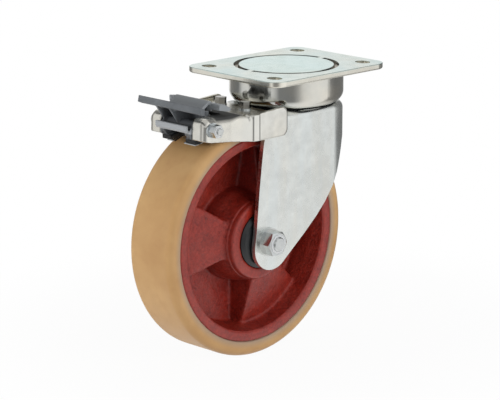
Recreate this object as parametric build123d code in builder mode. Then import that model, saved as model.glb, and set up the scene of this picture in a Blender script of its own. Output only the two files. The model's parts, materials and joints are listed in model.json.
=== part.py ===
"""Swivel castor with a pressed steel housing, a cast iron wheel and a pedal brake.

Millimetres. The origin is the middle of the top plate's upper face, on the swivel
axis. +Z is up, +X runs along the wheel axle and -Y is the side that carries the
brake. The wheel trails towards -Y by the castor offset.
"""

import os
from math import cos, radians, sin

from build123d import *

os.makedirs("parts", exist_ok=True)

# ---------------------------------------------------------------- driving sizes

# overall
total_height = 237.0          # floor to the upper face of the top plate
wheel_diameter = 200.0
tread_width = 50.0
castor_offset = 57.4          # swivel axis to axle
axle_y = -castor_offset
axle_z = -(total_height - wheel_diameter / 2)

# top plate
plate_size_x = 110.0
plate_size_y = 135.0
plate_thick = 5.0
plate_corner = 12.5
slot_spacing_x = 77.5
slot_spacing_y = 105.0
slot_width = 11.0
slot_length = 13.5
groove_inner = 40.0           # radius of the centre disc inside the pressed groove
groove_outer = 44.5
groove_depth = 2.2
groove_bridge = 5.0           # width of the two lands that cross the groove
plate_edge_round = 1.6
plate_arris = 0.5             # softened upper edge

# swivel housing under the plate
cup_radius = 48.3
cup_wall = 3.0
cup_bottom = -29.5
cup_lip_radius = 37.5

# swivel bearing
upper_race_radius = 33.0
upper_ball = 3.0              # ball radius
upper_ball_count = 16
lower_race_radius = 40.6
lower_ball = 2.0
lower_ball_count = 18
ball_gap = 0.05               # running gap on each side of a ball
cage_half_height = 0.6
cage_half_width = 0.8

# fork
fork_sheet = 4.0
fork_half_width = 37.0        # outer face of a leg
crown_radius = 48.5
crown_top = -31.0
crown_round = 6.5
crown_side_round = 24.0       # drawn corner between a leg and the rear wall
leg_depth = -170.0            # working depth of the leg blanks before they are cut
king_hole = 8.3

# wheel
tread_inner = 87.5
tread_round = 6.0
rim_inner = 79.2
rim_half_width = 24.5
rim_wall_mid = 75.5
hub_radius = 32.8
hub_root_radius = 39.0
hub_half_width = 28.5
pad_sector = 60.0             # angle taken by each of the six web pads
pad_first_angle = 174.0       # middle of the first near pad, seen along the axle
near_sector = 53.0            # the near pads are narrower than the far ones
far_sector = 2 * pad_sector - near_sector + 2
web_wall = 7.0

# wheel bearings (20 x 47 x 14 ball bearings) and axle
bearing_bore = 20.0
bearing_outer = 47.0
bearing_width = 14.0
axle_diameter = 12.0
axle_sleeve_outer = 20.0
wheel_ball = 3.9
wheel_ball_count = 7
wheel_ball_circle = 16.75

# brake bracket
bracket_half_width = 33.5
bracket_tab_face = 40.0       # outer face of the ears welded on the fork legs
bracket_sheet = 3.0
bracket_top = -25.0
bracket_front = -125.8
bracket_opening = 18.8        # half width of the opening between the front flanges

# brake pedal
pivot_y = -118.0
pivot_z = -34.3
pedal_bolt_diameter = 6.0
pedal_nut_across_flats = 10.0
pedal_nut_height = 6.6
pedal_washer_thick = 1.3
pedal_hub_radius = 4.1
lip_half_width = 37.5
wing_half_width = 30.0
body_half_width = 20.9

# two screws of the brake leaf
leaf_screw_x = 14.5
leaf_screw_run = 63.2         # from the front face of the bracket, along its top

# ---------------------------------------------------------------- top plate

with BuildPart() as top_plate:
    with BuildSketch(Plane.XY.offset(-plate_thick)):
        RectangleRounded(plate_size_x, plate_size_y, plate_corner)
    extrude(amount=plate_thick)
    fillet(top_plate.faces().sort_by(Axis.Z)[0].outer_wire().edges(), plate_edge_round)
    fillet(top_plate.faces().sort_by(Axis.Z)[-1].outer_wire().edges(), plate_arris)
    # pressed groove around the centre disc, crossed by two lands
    with BuildSketch(Plane.XZ):
        with BuildLine():
            Polyline(
                (groove_inner - 0.6, 0.5),
                (groove_inner, 0),
                (groove_inner + 0.9, -groove_depth),
                (groove_outer - 0.9, -groove_depth),
                (groove_outer, 0),
                (groove_outer + 0.6, 0.5),
                close=True,
            )
        make_face()
    revolve(axis=Axis.Z, mode=Mode.SUBTRACT)
    with BuildSketch(Plane.XY.offset(-groove_depth - 0.6)):
        for side in (-1, 1):
            with Locations((0, side * (groove_inner + groove_outer) / 2)):
                Rectangle(groove_bridge, groove_outer - groove_inner + 2)
    extrude(amount=groove_depth + 0.6)
    # four slotted holes, long axis along X
    with BuildSketch(Plane.XY.offset(-plate_thick)):
        with GridLocations(slot_spacing_x, slot_spacing_y, 2, 2):
            SlotOverall(slot_length, slot_width)
    extrude(amount=plate_thick, mode=Mode.SUBTRACT)

# ---------------------------------------------------------------- swivel housing

with BuildPart() as swivel_cup:
    with BuildSketch(Plane.XZ):
        with BuildLine():
            Polyline(
                (cup_radius - cup_wall, -plate_thick),
                (cup_radius, -plate_thick),
                (cup_radius, -21.5),
            )
            ThreePointArc((cup_radius, -21.5), (46.9, -26.1), (43.2, cup_bottom))
            Polyline(
                (43.2, cup_bottom),
                (cup_lip_radius, cup_bottom),
                (cup_lip_radius, cup_bottom + cup_wall),
                (43.0, cup_bottom + cup_wall),
            )
            ThreePointArc((43.0, cup_bottom + cup_wall), (44.6, -24.6), (cup_radius - cup_wall, -21.5))
            Line((cup_radius - cup_wall, -21.5), (cup_radius - cup_wall, -plate_thick))
        make_face()
    revolve(axis=Axis.Z)

# king pin: a rivet that holds the fork head up against the plate
with BuildPart() as king_pin:
    with BuildSketch(Plane.XZ):
        with BuildLine():
            Polyline(
                (0, -plate_thick),
                (11, -plate_thick),
                (11, -7.5),
                (8, -7.5),
                (8, -37.5),
                (13.5, -37.5),
                (13.5, -40),
            )
            ThreePointArc((13.5, -40), (10.2, -42.6), (6, -43.5))
            Polyline((6, -43.5), (0, -43.5), (0, -plate_thick))
        make_face()
    revolve(axis=Axis.Z)

# ---------------------------------------------------------------- swivel bearing

head_top = -plate_thick - 2 * upper_ball - 1.0
upper_mid = -plate_thick - upper_ball - 0.5
lower_mid = cup_bottom + cup_wall + lower_ball + ball_gap

# fork head: the turned ring that runs between the two rows of balls
with BuildPart() as fork_head:
    with BuildSketch(Plane.XZ):
        with BuildLine():
            Polyline(
                (8.3, head_top + 1.5),
                (26, head_top + 1.5),
                (26, head_top),
                (43, head_top),
                (43, head_top - 6.5),
                (36.9, lower_mid + lower_ball),
                (36.9, crown_top),
                (8.3, crown_top),
                close=True,
            )
        make_face()
    revolve(axis=Axis.Z)
    # grooves that the balls run in
    with BuildSketch(Plane.XZ):
        with Locations((upper_race_radius, upper_mid)):
            Circle(upper_ball + ball_gap)
    revolve(axis=Axis.Z, mode=Mode.SUBTRACT)
    with BuildSketch(Plane.XZ):
        with Locations((lower_race_radius, lower_mid)):
            Circle(lower_ball + ball_gap)
    revolve(axis=Axis.Z, mode=Mode.SUBTRACT)

# hardened ring pressed under the plate, the upper track of the bearing
with BuildPart() as upper_race:
    with BuildSketch(Plane.XZ):
        with BuildLine():
            Polyline(
                (27.5, -plate_thick),
                (38.5, -plate_thick),
                (38.5, -7.0),
                (27.5, -7.0),
                close=True,
            )
        make_face()
        with Locations((upper_race_radius, upper_mid)):
            Circle(upper_ball + ball_gap, mode=Mode.SUBTRACT)
    revolve(axis=Axis.Z)

# rows of balls, each held in a thin cage
with BuildPart() as upper_balls:
    with BuildSketch(Plane.XZ):
        with Locations((upper_race_radius, upper_mid)):
            Rectangle(2 * cage_half_width, 2 * cage_half_height)
    revolve(axis=Axis.Z)
    with Locations((0, 0, upper_mid)):
        with PolarLocations(upper_race_radius, upper_ball_count):
            Sphere(upper_ball)

with BuildPart() as lower_balls:
    with BuildSketch(Plane.XZ):
        with Locations((lower_race_radius, lower_mid)):
            Rectangle(2 * cage_half_width, 2 * cage_half_height)
    revolve(axis=Axis.Z)
    with Locations((0, 0, lower_mid)):
        with PolarLocations(lower_race_radius, lower_ball_count):
            Sphere(lower_ball)

# ---------------------------------------------------------------- fork

with BuildPart() as fork:
    # blank: a deep drawn cap around the swivel axis that runs on forwards into two flat legs
    with BuildSketch(Plane.XY.offset(leg_depth)):
        Circle(crown_radius)
        Rectangle(2 * fork_half_width, 3 * crown_radius, mode=Mode.INTERSECT)
        fillet(vertices().group_by(Axis.Y)[-1], crown_side_round)
        with Locations((0, -40)):
            Rectangle(2 * fork_half_width, 80)
    extrude(amount=crown_top - leg_depth)
    fillet(faces().sort_by(Axis.Z)[-1].outer_wire().edges(), crown_round)
    # outline seen from the side
    with BuildSketch(Plane.YZ.offset(-2 * fork_half_width)):
        with BuildLine():
            Polyline(
                (60, 0), (-33, 0), (-33, crown_top), (-38, -33.4), (-50, -34.8), (-58, -40.5),
                (-61.5, -48), (-63, -55), (-65.2, -70.6), (-67.8, -92.3), (-70.9, -125.7),
                (-72.9, -139.5),
            )
            ThreePointArc((-72.9, -139.5), (-67.3, -155.8), (-53, -161.8))
            ThreePointArc((-53, -161.8), (-45.3, -160.2), (-38.6, -155.9))
            Polyline(
                (-38.6, -155.9), (-27.6, -147.1), (-14.2, -136.5), (-0.7, -124.8),
                (9.7, -114.2), (19.2, -101.5), (24.5, -90), (29.6, -75), (33.5, -64),
                (40, -58), (60, -56), (60, 0),
            )
        make_face()
    extrude(amount=4 * fork_half_width, mode=Mode.INTERSECT)
    # hollow inside the sheet, open in front and below
    with BuildSketch(Plane.XY.offset(leg_depth)):
        Circle(crown_radius - fork_sheet)
        Rectangle(2 * fork_half_width - 2 * fork_sheet, 3 * crown_radius, mode=Mode.INTERSECT)
        fillet(vertices().group_by(Axis.Y)[-1], crown_side_round - fork_sheet)
        with Locations((0, -50)):
            Rectangle(2 * fork_half_width - 2 * fork_sheet, 100)
    extrude(amount=crown_top - fork_sheet - leg_depth, mode=Mode.SUBTRACT)
    # the crown ends in a round edge between the legs
    with BuildSketch(Plane.XY.offset(crown_top - fork_sheet)):
        with Locations((0, -50)):
            Rectangle(2 * fork_half_width - 2 * fork_sheet, 100)
        Circle(crown_radius, mode=Mode.SUBTRACT)
    extrude(amount=2 * fork_sheet, mode=Mode.SUBTRACT)
    # holes for the king pin and the axle
    with BuildSketch(Plane.XY.offset(crown_top - fork_sheet)):
        Circle(king_hole)
    extrude(amount=fork_sheet, mode=Mode.SUBTRACT)
    with BuildSketch(Plane.YZ.offset(-fork_half_width)):
        with Locations((axle_y, axle_z)):
            Circle(axle_diameter / 2 + 0.05)
    extrude(amount=2 * fork_half_width, mode=Mode.SUBTRACT)

# soft ring that keeps dirt out of the lower row of balls
with BuildPart() as swivel_seal:
    with BuildSketch(Plane.XZ):
        Polygon(
            (38.5, crown_top), (42.0, crown_top), (40.6, crown_top + 0.9),
            (38.9, crown_top + 0.9), align=None,
        )
    revolve(axis=Axis.Z)

# ---------------------------------------------------------------- wheel

axle_axis = Axis((0, axle_y, axle_z), (1, 0, 0))


def radial_plane(angle):
    """Plane through the axle line: local x along the axle, local y outwards."""
    turn = radians(angle)
    return Plane(origin=(0, axle_y, axle_z), x_dir=(1, 0, 0), z_dir=(0, -sin(turn), cos(turn)))


def side_plane(x):
    """Plane across the axle at x: local x along +Y, local y along +Z, axle at its origin."""
    return Plane(origin=(x, axle_y, axle_z), x_dir=(0, 1, 0), z_dir=(1, 0, 0))


wheel_plane = radial_plane(90)

with BuildPart() as tread:
    with BuildSketch(wheel_plane):
        with Locations((0, tread_inner)):
            Rectangle(tread_width, wheel_diameter / 2 - tread_inner, align=(Align.CENTER, Align.MIN))
        fillet(vertices().group_by(Axis.Y)[-1], tread_round)
    revolve(axis=axle_axis)

seat_radius = bearing_outer / 2
seat_bottom = hub_half_width - 1 - bearing_width

with BuildPart() as wheel_centre:
    # rim
    with BuildSketch(wheel_plane):
        Polygon(
            (-rim_half_width, tread_inner), (rim_half_width, tread_inner),
            (rim_half_width, rim_inner), (7, 76.2), (0, rim_wall_mid), (-7, 76.2),
            (-rim_half_width, rim_inner), align=None,
        )
    revolve(axis=axle_axis)
    # hub with two bearing seats
    with BuildSketch(wheel_plane):
        Polygon(
            (hub_half_width, seat_radius), (hub_half_width, hub_radius),
            (4, hub_root_radius), (-4, hub_root_radius),
            (-hub_half_width, hub_radius), (-hub_half_width, seat_radius),
            (-seat_bottom, seat_radius), (-seat_bottom, 19), (seat_bottom, 19),
            (seat_bottom, seat_radius), align=None,
        )
    revolve(axis=axle_axis)
    # web: three pads near the front face and three behind, joined by radial walls
    for step in range(3):
        near = pad_first_angle - near_sector / 2 + 2 * pad_sector * step
        far = pad_first_angle + pad_sector - far_sector / 2 + 2 * pad_sector * step
        with BuildSketch(radial_plane(near)):
            Polygon((20, 33), (7.5, 77), (-0.5, 77), (12, 33), align=None)
        revolve(axis=axle_axis, revolution_arc=near_sector)
        with BuildSketch(radial_plane(far)):
            Polygon((-8, 33), (-6, 77), (-14, 77), (-16, 33), align=None)
        revolve(axis=axle_axis, revolution_arc=far_sector)
        # walls: each stands under the edge of a near pad and ends on a far one
        for edge, wall in ((near, web_wall), (near + near_sector, -web_wall)):
            with BuildSketch(radial_plane(edge)):
                Polygon((20, 33), (7.5, 77), (-14, 77), (-16, 33), align=None)
            extrude(amount=wall)

# ---------------------------------------------------------------- wheel bearings

inner_ring_outer = 13.6
outer_ring_inner = 19.9


def ring_section(side, low, high):
    """Section of a bearing ring with its ball groove, on the side given by the sign."""
    middle = side * (seat_bottom + bearing_width / 2)
    with Locations((middle, (low + high) / 2)):
        Rectangle(bearing_width, high - low)
    with Locations((middle, wheel_ball_circle)):
        Circle(wheel_ball + ball_gap, mode=Mode.SUBTRACT)


with BuildPart() as bearing_inner_near:
    with BuildSketch(wheel_plane):
        ring_section(1, bearing_bore / 2, inner_ring_outer)
    revolve(axis=axle_axis)

with BuildPart() as bearing_inner_far:
    with BuildSketch(wheel_plane):
        ring_section(-1, bearing_bore / 2, inner_ring_outer)
    revolve(axis=axle_axis)

with BuildPart() as bearing_outer_near:
    with BuildSketch(wheel_plane):
        ring_section(1, outer_ring_inner, seat_radius)
    revolve(axis=axle_axis)

with BuildPart() as bearing_outer_far:
    with BuildSketch(wheel_plane):
        ring_section(-1, outer_ring_inner, seat_radius)
    revolve(axis=axle_axis)

ball_offset = seat_bottom + bearing_width / 2

with BuildPart() as wheel_balls_near:
    with BuildSketch(wheel_plane):
        with Locations((ball_offset, wheel_ball_circle)):
            Rectangle(2 * cage_half_height, 2 * cage_half_width)
    revolve(axis=axle_axis)
    with Locations(side_plane(ball_offset)):
        with PolarLocations(wheel_ball_circle, wheel_ball_count):
            Sphere(wheel_ball)

with BuildPart() as wheel_balls_far:
    with BuildSketch(wheel_plane):
        with Locations((-ball_offset, wheel_ball_circle)):
            Rectangle(2 * cage_half_height, 2 * cage_half_width)
    revolve(axis=axle_axis)
    with Locations(side_plane(-ball_offset)):
        with PolarLocations(wheel_ball_circle, wheel_ball_count):
            Sphere(wheel_ball)

# moulded caps that close the bearing seats
cap_section = [
    (27.6, 14.5), (27.6, seat_radius), (28.6, seat_radius), (29.2, 22.6), (30.6, 20.5),
    (31.2, 17.0), (31.2, 10.6), (29.8, 10.6), (29.8, 14.5),
]

with BuildPart() as bearing_cap_near:
    with BuildSketch(wheel_plane):
        Polygon(*cap_section, align=None)
    revolve(axis=axle_axis)

with BuildPart() as bearing_cap_far:
    with BuildSketch(wheel_plane):
        Polygon(*[(-x, r) for x, r in cap_section], align=None)
    revolve(axis=axle_axis)

# ---------------------------------------------------------------- axle

leg_inner = fork_half_width - fork_sheet
washer_thick = 2.0
nut_across_flats = 19.0
nut_height = 9.5
axle_end = 50.4

with BuildPart() as axle_sleeve:
    with BuildSketch(side_plane(-leg_inner)):
        Circle(axle_sleeve_outer / 2)
        Circle(axle_diameter / 2 + 0.05, mode=Mode.SUBTRACT)
    extrude(amount=2 * leg_inner)

with BuildPart() as axle_bolt:
    with BuildSketch(side_plane(-fork_half_width - washer_thick)):
        Circle(axle_diameter / 2)
    extrude(amount=fork_half_width + washer_thick + axle_end)
    chamfer(faces().sort_by(Axis.X)[-1].edges(), 0.9)
    with BuildSketch(side_plane(-fork_half_width - washer_thick)):
        RegularPolygon(nut_across_flats / 2, 6, major_radius=False)
    extrude(amount=-7.5)

with BuildPart() as axle_nut:
    with BuildSketch(side_plane(fork_half_width + washer_thick)):
        RegularPolygon(nut_across_flats / 2, 6, major_radius=False)
        Circle(axle_diameter / 2, mode=Mode.SUBTRACT)
    extrude(amount=nut_height)
    # rounded corners of the hexagon
    with BuildSketch(wheel_plane):
        Polygon(
            (fork_half_width + washer_thick, 0), (fork_half_width + washer_thick, 11.2),
            (fork_half_width + washer_thick + nut_height - 1.2, 11.2),
            (fork_half_width + washer_thick + nut_height, 9.2),
            (fork_half_width + washer_thick + nut_height, 0), align=None,
        )
    revolve(axis=axle_axis, mode=Mode.INTERSECT)

with BuildPart() as axle_washer_near:
    with BuildSketch(side_plane(fork_half_width)):
        Circle(12)
        Circle(axle_diameter / 2 + 0.05, mode=Mode.SUBTRACT)
    extrude(amount=washer_thick)

with BuildPart() as axle_washer_far:
    with BuildSketch(side_plane(-fork_half_width - washer_thick)):
        Circle(12)
        Circle(axle_diameter / 2 + 0.05, mode=Mode.SUBTRACT)
    extrude(amount=washer_thick)

# ---------------------------------------------------------------- brake bracket

# the top of the bracket falls gently towards the swivel housing
bracket_plane = Plane(origin=(0, bracket_front, bracket_top), x_dir=(1, 0, 0), z_dir=(0, 0.045, 1))
bracket_depth = 30.0
bracket_run = 51.0            # front face to the step in the arms
bracket_reach = 76.0          # front face to the rear edge of the top
cup_clearance = 50.0

with BuildPart() as brake_bracket:
    # drawn box, then hollowed to the sheet
    with BuildSketch(bracket_plane):
        Polygon(
            (-bracket_half_width, 0), (bracket_half_width, 0),
            (bracket_half_width, bracket_run), (-bracket_half_width, bracket_run), align=None,
        )
        fillet(vertices().group_by(Axis.Y)[0], 6)
    extrude(amount=-bracket_depth)
    fillet(faces().sort_by(Axis.Z)[-1].edges().sort_by(Axis.Y)[:-1], 3.6)
    with BuildSketch(bracket_plane.offset(-bracket_sheet)):
        Polygon(
            (-bracket_half_width + bracket_sheet, bracket_sheet),
            (bracket_half_width - bracket_sheet, bracket_sheet),
            (bracket_half_width - bracket_sheet, bracket_run + 1),
            (-bracket_half_width + bracket_sheet, bracket_run + 1), align=None,
        )
        fillet(vertices().group_by(Axis.Y)[0], 3)
    extrude(amount=-bracket_depth, mode=Mode.SUBTRACT)
    # the top runs on to the swivel housing, as wide as the fork
    with BuildSketch(bracket_plane):
        Polygon(
            (-bracket_half_width, bracket_run), (bracket_half_width, bracket_run),
            (fork_half_width, bracket_run + 7), (fork_half_width, bracket_reach),
            (-fork_half_width, bracket_reach), (-fork_half_width, bracket_run + 7), align=None,
        )
    extrude(amount=-bracket_sheet)
    # opening for the pedal in the front wall and the top
    with BuildSketch(Plane.XY.offset(-70)):
        with Locations((0, -130)):
            Rectangle(2 * bracket_opening, 20)
        with Locations((0, -108)):
            Rectangle(2 * bracket_opening, 30)
            fillet(vertices().group_by(Axis.Y)[-1], 4)
    extrude(amount=70, mode=Mode.SUBTRACT)
    # lower edge of the arms
    with BuildSketch(Plane.YZ.offset(-60)):
        Polygon(
            (-140, -42.6), (-125, -43.2), (-119, -44.8), (-110, -45.8), (-89, -48.0),
            (-74, -49.3), (-30, -49.3), (-30, -70), (-140, -70), align=None,
        )
    extrude(amount=120, mode=Mode.SUBTRACT)
    # arms step outwards and lie on the fork legs
    for side in (-1, 1):
        with BuildSketch(Plane.XY.offset(-49.3)):
            Polygon(
                (side * 33.5, -77), (side * 40, -71), (side * 40, -38.2), (side * 37, -38.2),
                (side * 37, -69.8), (side * 30.5, -75.8), (side * 30.5, -77), align=None,
            )
        extrude(amount=49.3 - 24.7)
    # upper edge of the ears
    with BuildSketch(Plane.YZ.offset(-60)):
        with BuildLine():
            Polyline((-78, 0), (-78, -27.2), (-72, -27.2), (-66, -26.2), (-44, -24.9))
            ThreePointArc((-44, -24.9), (-39.9, -26.6), (-38.2, -31))
            Polyline((-38.2, -31), (-38.2, -43.5))
            ThreePointArc((-38.2, -43.5), (-39.9, -47.6), (-44, -49.3))
            Polyline((-44, -49.3), (-44, -60), (-20, -60), (-20, 0), (-78, 0))
        make_face()
    extrude(amount=120, mode=Mode.SUBTRACT)
    # room for the swivel housing
    with BuildSketch(Plane.XY.offset(-60)):
        Circle(cup_clearance)
    extrude(amount=60, mode=Mode.SUBTRACT)
    # holes: pedal bolt and two leaf screws
    with BuildSketch(Plane.YZ.offset(-60)):
        with Locations((pivot_y, pivot_z)):
            Circle(pedal_bolt_diameter / 2 + 0.05)
    extrude(amount=120, mode=Mode.SUBTRACT)
    with BuildSketch(bracket_plane):
        with Locations((-leaf_screw_x, leaf_screw_run), (leaf_screw_x, leaf_screw_run)):
            Circle(3.1)
    extrude(amount=-2 * bracket_sheet, mode=Mode.SUBTRACT)

# ---------------------------------------------------------------- brake pedal

with BuildPart() as pedal:
    # foot bar along the front
    with BuildSketch(Plane.YZ.offset(-lip_half_width)):
        Polygon((-133.0, -13.2), (-134.2, -18.6), (-129.4, -20.6), (-128.6, -15.2), align=None)
    extrude(amount=2 * lip_half_width)
    # release wing along the rear
    with BuildSketch(Plane.YZ.offset(-wing_half_width)):
        Polygon((-106, -17.6), (-96, -18.4), (-93.3, -19.4), (-93.3, -22.6), (-106, -22.2), align=None)
    extrude(amount=2 * wing_half_width)
    # tread plate rising towards the rear
    with BuildSketch(Plane.YZ.offset(-20.4)):
        Polygon(
            (-131.5, -15.4), (-120.5, -20.0), (-107.6, -14.4), (-105.2, -14.4),
            (-103.6, -23.6), (-121, -24.0), (-130, -20.5), align=None,
        )
    extrude(amount=39.4)
    # body between the arms of the bracket, with ribs left at the front
    with BuildSketch(Plane.YZ.offset(-18.4)):
        Polygon(
            (-133.6, -18.2), (-121.5, -32.7), (-127.9, -32.7), (-127.9, -37.6),
            (-126.4, -43.2), (-122.5, -45.2), (-109.5, -41.6), (-104.8, -23.6),
            (-112, -20.5), align=None,
        )
    extrude(amount=36.8)
    with BuildSketch(Plane.YZ.offset(-16.6)):
        Polygon(
            (-134, -18.6), (-128.8, -21.4), (-110.5, -24.5), (-110.5, -32.6),
            (-125, -32.6), (-134, -22), align=None,
        )
    extrude(amount=33.2, mode=Mode.SUBTRACT)
    with BuildSketch(Plane.YZ.offset(-2.8)):
        Polygon(
            (-133.6, -18.4), (-119.0, -33.2), (-110, -33.2), (-110, -24), (-128, -21.0),
            align=None,
        )
    extrude(amount=1.8)
    # cross bar in front of the bracket
    with BuildSketch(Plane.YZ.offset(-body_half_width)):
        Polygon(
            (-130.2, -32.2), (-130.2, -36.2), (-129.0, -38.0), (-127.9, -38.0),
            (-127.9, -32.2), align=None,
        )
    extrude(amount=2 * body_half_width)
    # slot between the two feet
    with BuildSketch(Plane.XY.offset(-50)):
        with Locations((0, -118)):
            Rectangle(18, 40)
    extrude(amount=9.5, mode=Mode.SUBTRACT)
    # hub of the pivot
    with BuildSketch(Plane.YZ.offset(-18.4)):
        with Locations((pivot_y, pivot_z)):
            Circle(pedal_hub_radius)
    extrude(amount=36.8)
    with BuildSketch(Plane.YZ.offset(-60)):
        with Locations((pivot_y, pivot_z)):
            Circle(pedal_bolt_diameter / 2 + 0.06)
    extrude(amount=120, mode=Mode.SUBTRACT)

with BuildPart() as pedal_pads:
    for x in (-18.8, 9.2):
        with BuildSketch(Plane.YZ.offset(x)):
            Polygon(
                (-124.2, -44.3), (-122.5, -45.2), (-109.5, -41.6), (-108.8, -44.4),
                (-117.6, -47.9), (-123.8, -47.6), align=None,
            )
        extrude(amount=9.6)
    with BuildSketch(Plane.YZ.offset(-9.4)):
        Polygon((-112.5, -43.2), (-111, -42.7), (-110.4, -44.8), (-112.1, -45.5), align=None)
    extrude(amount=18.8)

# pin of the pedal: riveted over at the far arm, threaded at the near one
with BuildPart() as pedal_bolt:
    with BuildSketch(Plane.YZ.offset(-bracket_half_width)):
        with Locations((pivot_y, pivot_z)):
            Circle(pedal_bolt_diameter / 2)
    extrude(amount=2 * bracket_half_width + 9.9)
    chamfer(faces().sort_by(Axis.X)[-1].edges(), 0.5)
    with BuildSketch(Plane.YZ.offset(-bracket_half_width)):
        with Locations((pivot_y, pivot_z)):
            Circle(5)
    extrude(amount=-1.2)
    chamfer(faces().sort_by(Axis.X)[0].edges(), 0.7)

with BuildPart() as pedal_washer:
    with BuildSketch(Plane.YZ.offset(bracket_half_width)):
        with Locations((pivot_y, pivot_z)):
            Circle(6.2)
            Circle(pedal_bolt_diameter / 2 + 0.05, mode=Mode.SUBTRACT)
    extrude(amount=pedal_washer_thick)

with BuildPart() as pedal_nut:
    with BuildSketch(Plane.YZ.offset(bracket_half_width + pedal_washer_thick)):
        with Locations((pivot_y, pivot_z)):
            RegularPolygon(pedal_nut_across_flats / 2, 6, major_radius=False)
            Circle(pedal_bolt_diameter / 2, mode=Mode.SUBTRACT)
    extrude(amount=pedal_nut_height)

# ---------------------------------------------------------------- brake leaf

leaf_hinge_y = -62.8          # the leaf rocks about the line of its two screws

with BuildPart() as brake_leaf:
    with BuildSketch(Plane.YZ.offset(-20)):
        Polygon(
            (-56.5, -32.2), (-71, -32.2), (-117.5, -49.2), (-118.1, -50.6),
            (-71.2, -33.7), (-56.5, -33.7), align=None,
        )
    extrude(amount=40)
    with BuildSketch(Plane.XY.offset(-60)):
        with Locations((-leaf_screw_x, leaf_hinge_y), (leaf_screw_x, leaf_hinge_y)):
            Circle(3.8)
        for side in (-1, 1):
            Polygon((side * 14, -119), (side * 21, -119), (side * 21, -100), align=None)
    extrude(amount=60, mode=Mode.SUBTRACT)

with BuildPart() as brake_lining:
    with BuildSketch(Plane.YZ.offset(-13)):
        Polygon((-116.4, -49.99), (-98.4, -43.51), (-98.1, -44.4), (-116.1, -50.9), align=None)
    extrude(amount=26)


# hexagon screws that carry the leaf, the lower end of each spread to a collar
screw_across_flats = 8.5
screw_shank = 3.0
screw_collar = 4.6
screw_head = 5.4
screw_length = 8.7
washer_height = 1.2

with BuildPart() as leaf_screw_near:
    with BuildSketch(bracket_plane.offset(washer_height)):
        with Locations((leaf_screw_x, leaf_screw_run)):
            RegularPolygon(screw_across_flats / 2, 6, major_radius=False)
    extrude(amount=screw_head)
    with BuildSketch(bracket_plane.offset(washer_height)):
        with Locations((leaf_screw_x, leaf_screw_run)):
            Circle(screw_shank)
    extrude(amount=-screw_length)
    with BuildSketch(bracket_plane.offset(washer_height - screw_length)):
        with Locations((leaf_screw_x, leaf_screw_run)):
            Circle(screw_collar)
    extrude(amount=0.9)

with BuildPart() as leaf_screw_far:
    with BuildSketch(bracket_plane.offset(washer_height)):
        with Locations((-leaf_screw_x, leaf_screw_run)):
            RegularPolygon(screw_across_flats / 2, 6, major_radius=False)
    extrude(amount=screw_head)
    with BuildSketch(bracket_plane.offset(washer_height)):
        with Locations((-leaf_screw_x, leaf_screw_run)):
            Circle(screw_shank)
    extrude(amount=-screw_length)
    with BuildSketch(bracket_plane.offset(washer_height - screw_length)):
        with Locations((-leaf_screw_x, leaf_screw_run)):
            Circle(screw_collar)
    extrude(amount=0.9)

with BuildPart() as leaf_washer_near:
    with BuildSketch(bracket_plane):
        with Locations((leaf_screw_x, leaf_screw_run)):
            Circle(5.2)
            Circle(screw_shank + 0.05, mode=Mode.SUBTRACT)
    extrude(amount=washer_height)

with BuildPart() as leaf_washer_far:
    with BuildSketch(bracket_plane):
        with Locations((-leaf_screw_x, leaf_screw_run)):
            Circle(5.2)
            Circle(screw_shank + 0.05, mode=Mode.SUBTRACT)
    extrude(amount=washer_height)

# ---------------------------------------------------------------- files

NODES = {
    "top_plate": top_plate,
    "swivel_cup": swivel_cup,
    "king_pin": king_pin,
    "upper_race": upper_race,
    "upper_balls": upper_balls,
    "lower_balls": lower_balls,
    "fork_head": fork_head,
    "fork": fork,
    "swivel_seal": swivel_seal,
    "brake_bracket": brake_bracket,
    "leaf_screw_near": leaf_screw_near,
    "leaf_screw_far": leaf_screw_far,
    "leaf_washer_near": leaf_washer_near,
    "leaf_washer_far": leaf_washer_far,
    "brake_leaf": brake_leaf,
    "brake_lining": brake_lining,
    "pedal": pedal,
    "pedal_pads": pedal_pads,
    "pedal_bolt": pedal_bolt,
    "pedal_washer": pedal_washer,
    "pedal_nut": pedal_nut,
    "axle_bolt": axle_bolt,
    "axle_nut": axle_nut,
    "axle_washer_near": axle_washer_near,
    "axle_washer_far": axle_washer_far,
    "axle_sleeve": axle_sleeve,
    "bearing_inner_near": bearing_inner_near,
    "bearing_inner_far": bearing_inner_far,
    "wheel_balls_near": wheel_balls_near,
    "wheel_balls_far": wheel_balls_far,
    "bearing_outer_near": bearing_outer_near,
    "bearing_outer_far": bearing_outer_far,
    "bearing_cap_near": bearing_cap_near,
    "bearing_cap_far": bearing_cap_far,
    "wheel_centre": wheel_centre,
    "tread": tread,
}

for name, node in NODES.items():
    node.part.label = name
    export_step(node.part, f"parts/{name}.step")
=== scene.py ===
# %% [markdown]
# # A swivel castor with a cast wheel and a pedal brake
#
# The solids and their sizes come from the packed model. This script gives them their
# finishes, and makes again the pieces that need softer forms than the solids have: the
# tread, the iron casting of the wheel, the drawn bracket, the moulded pedal and the
# spring leaf. It adds the threads and the locking collars of the two nuts.

# %% Load the packed model
import json
import math

import bmesh
import bpy
from mathutils import Matrix, Vector


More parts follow.
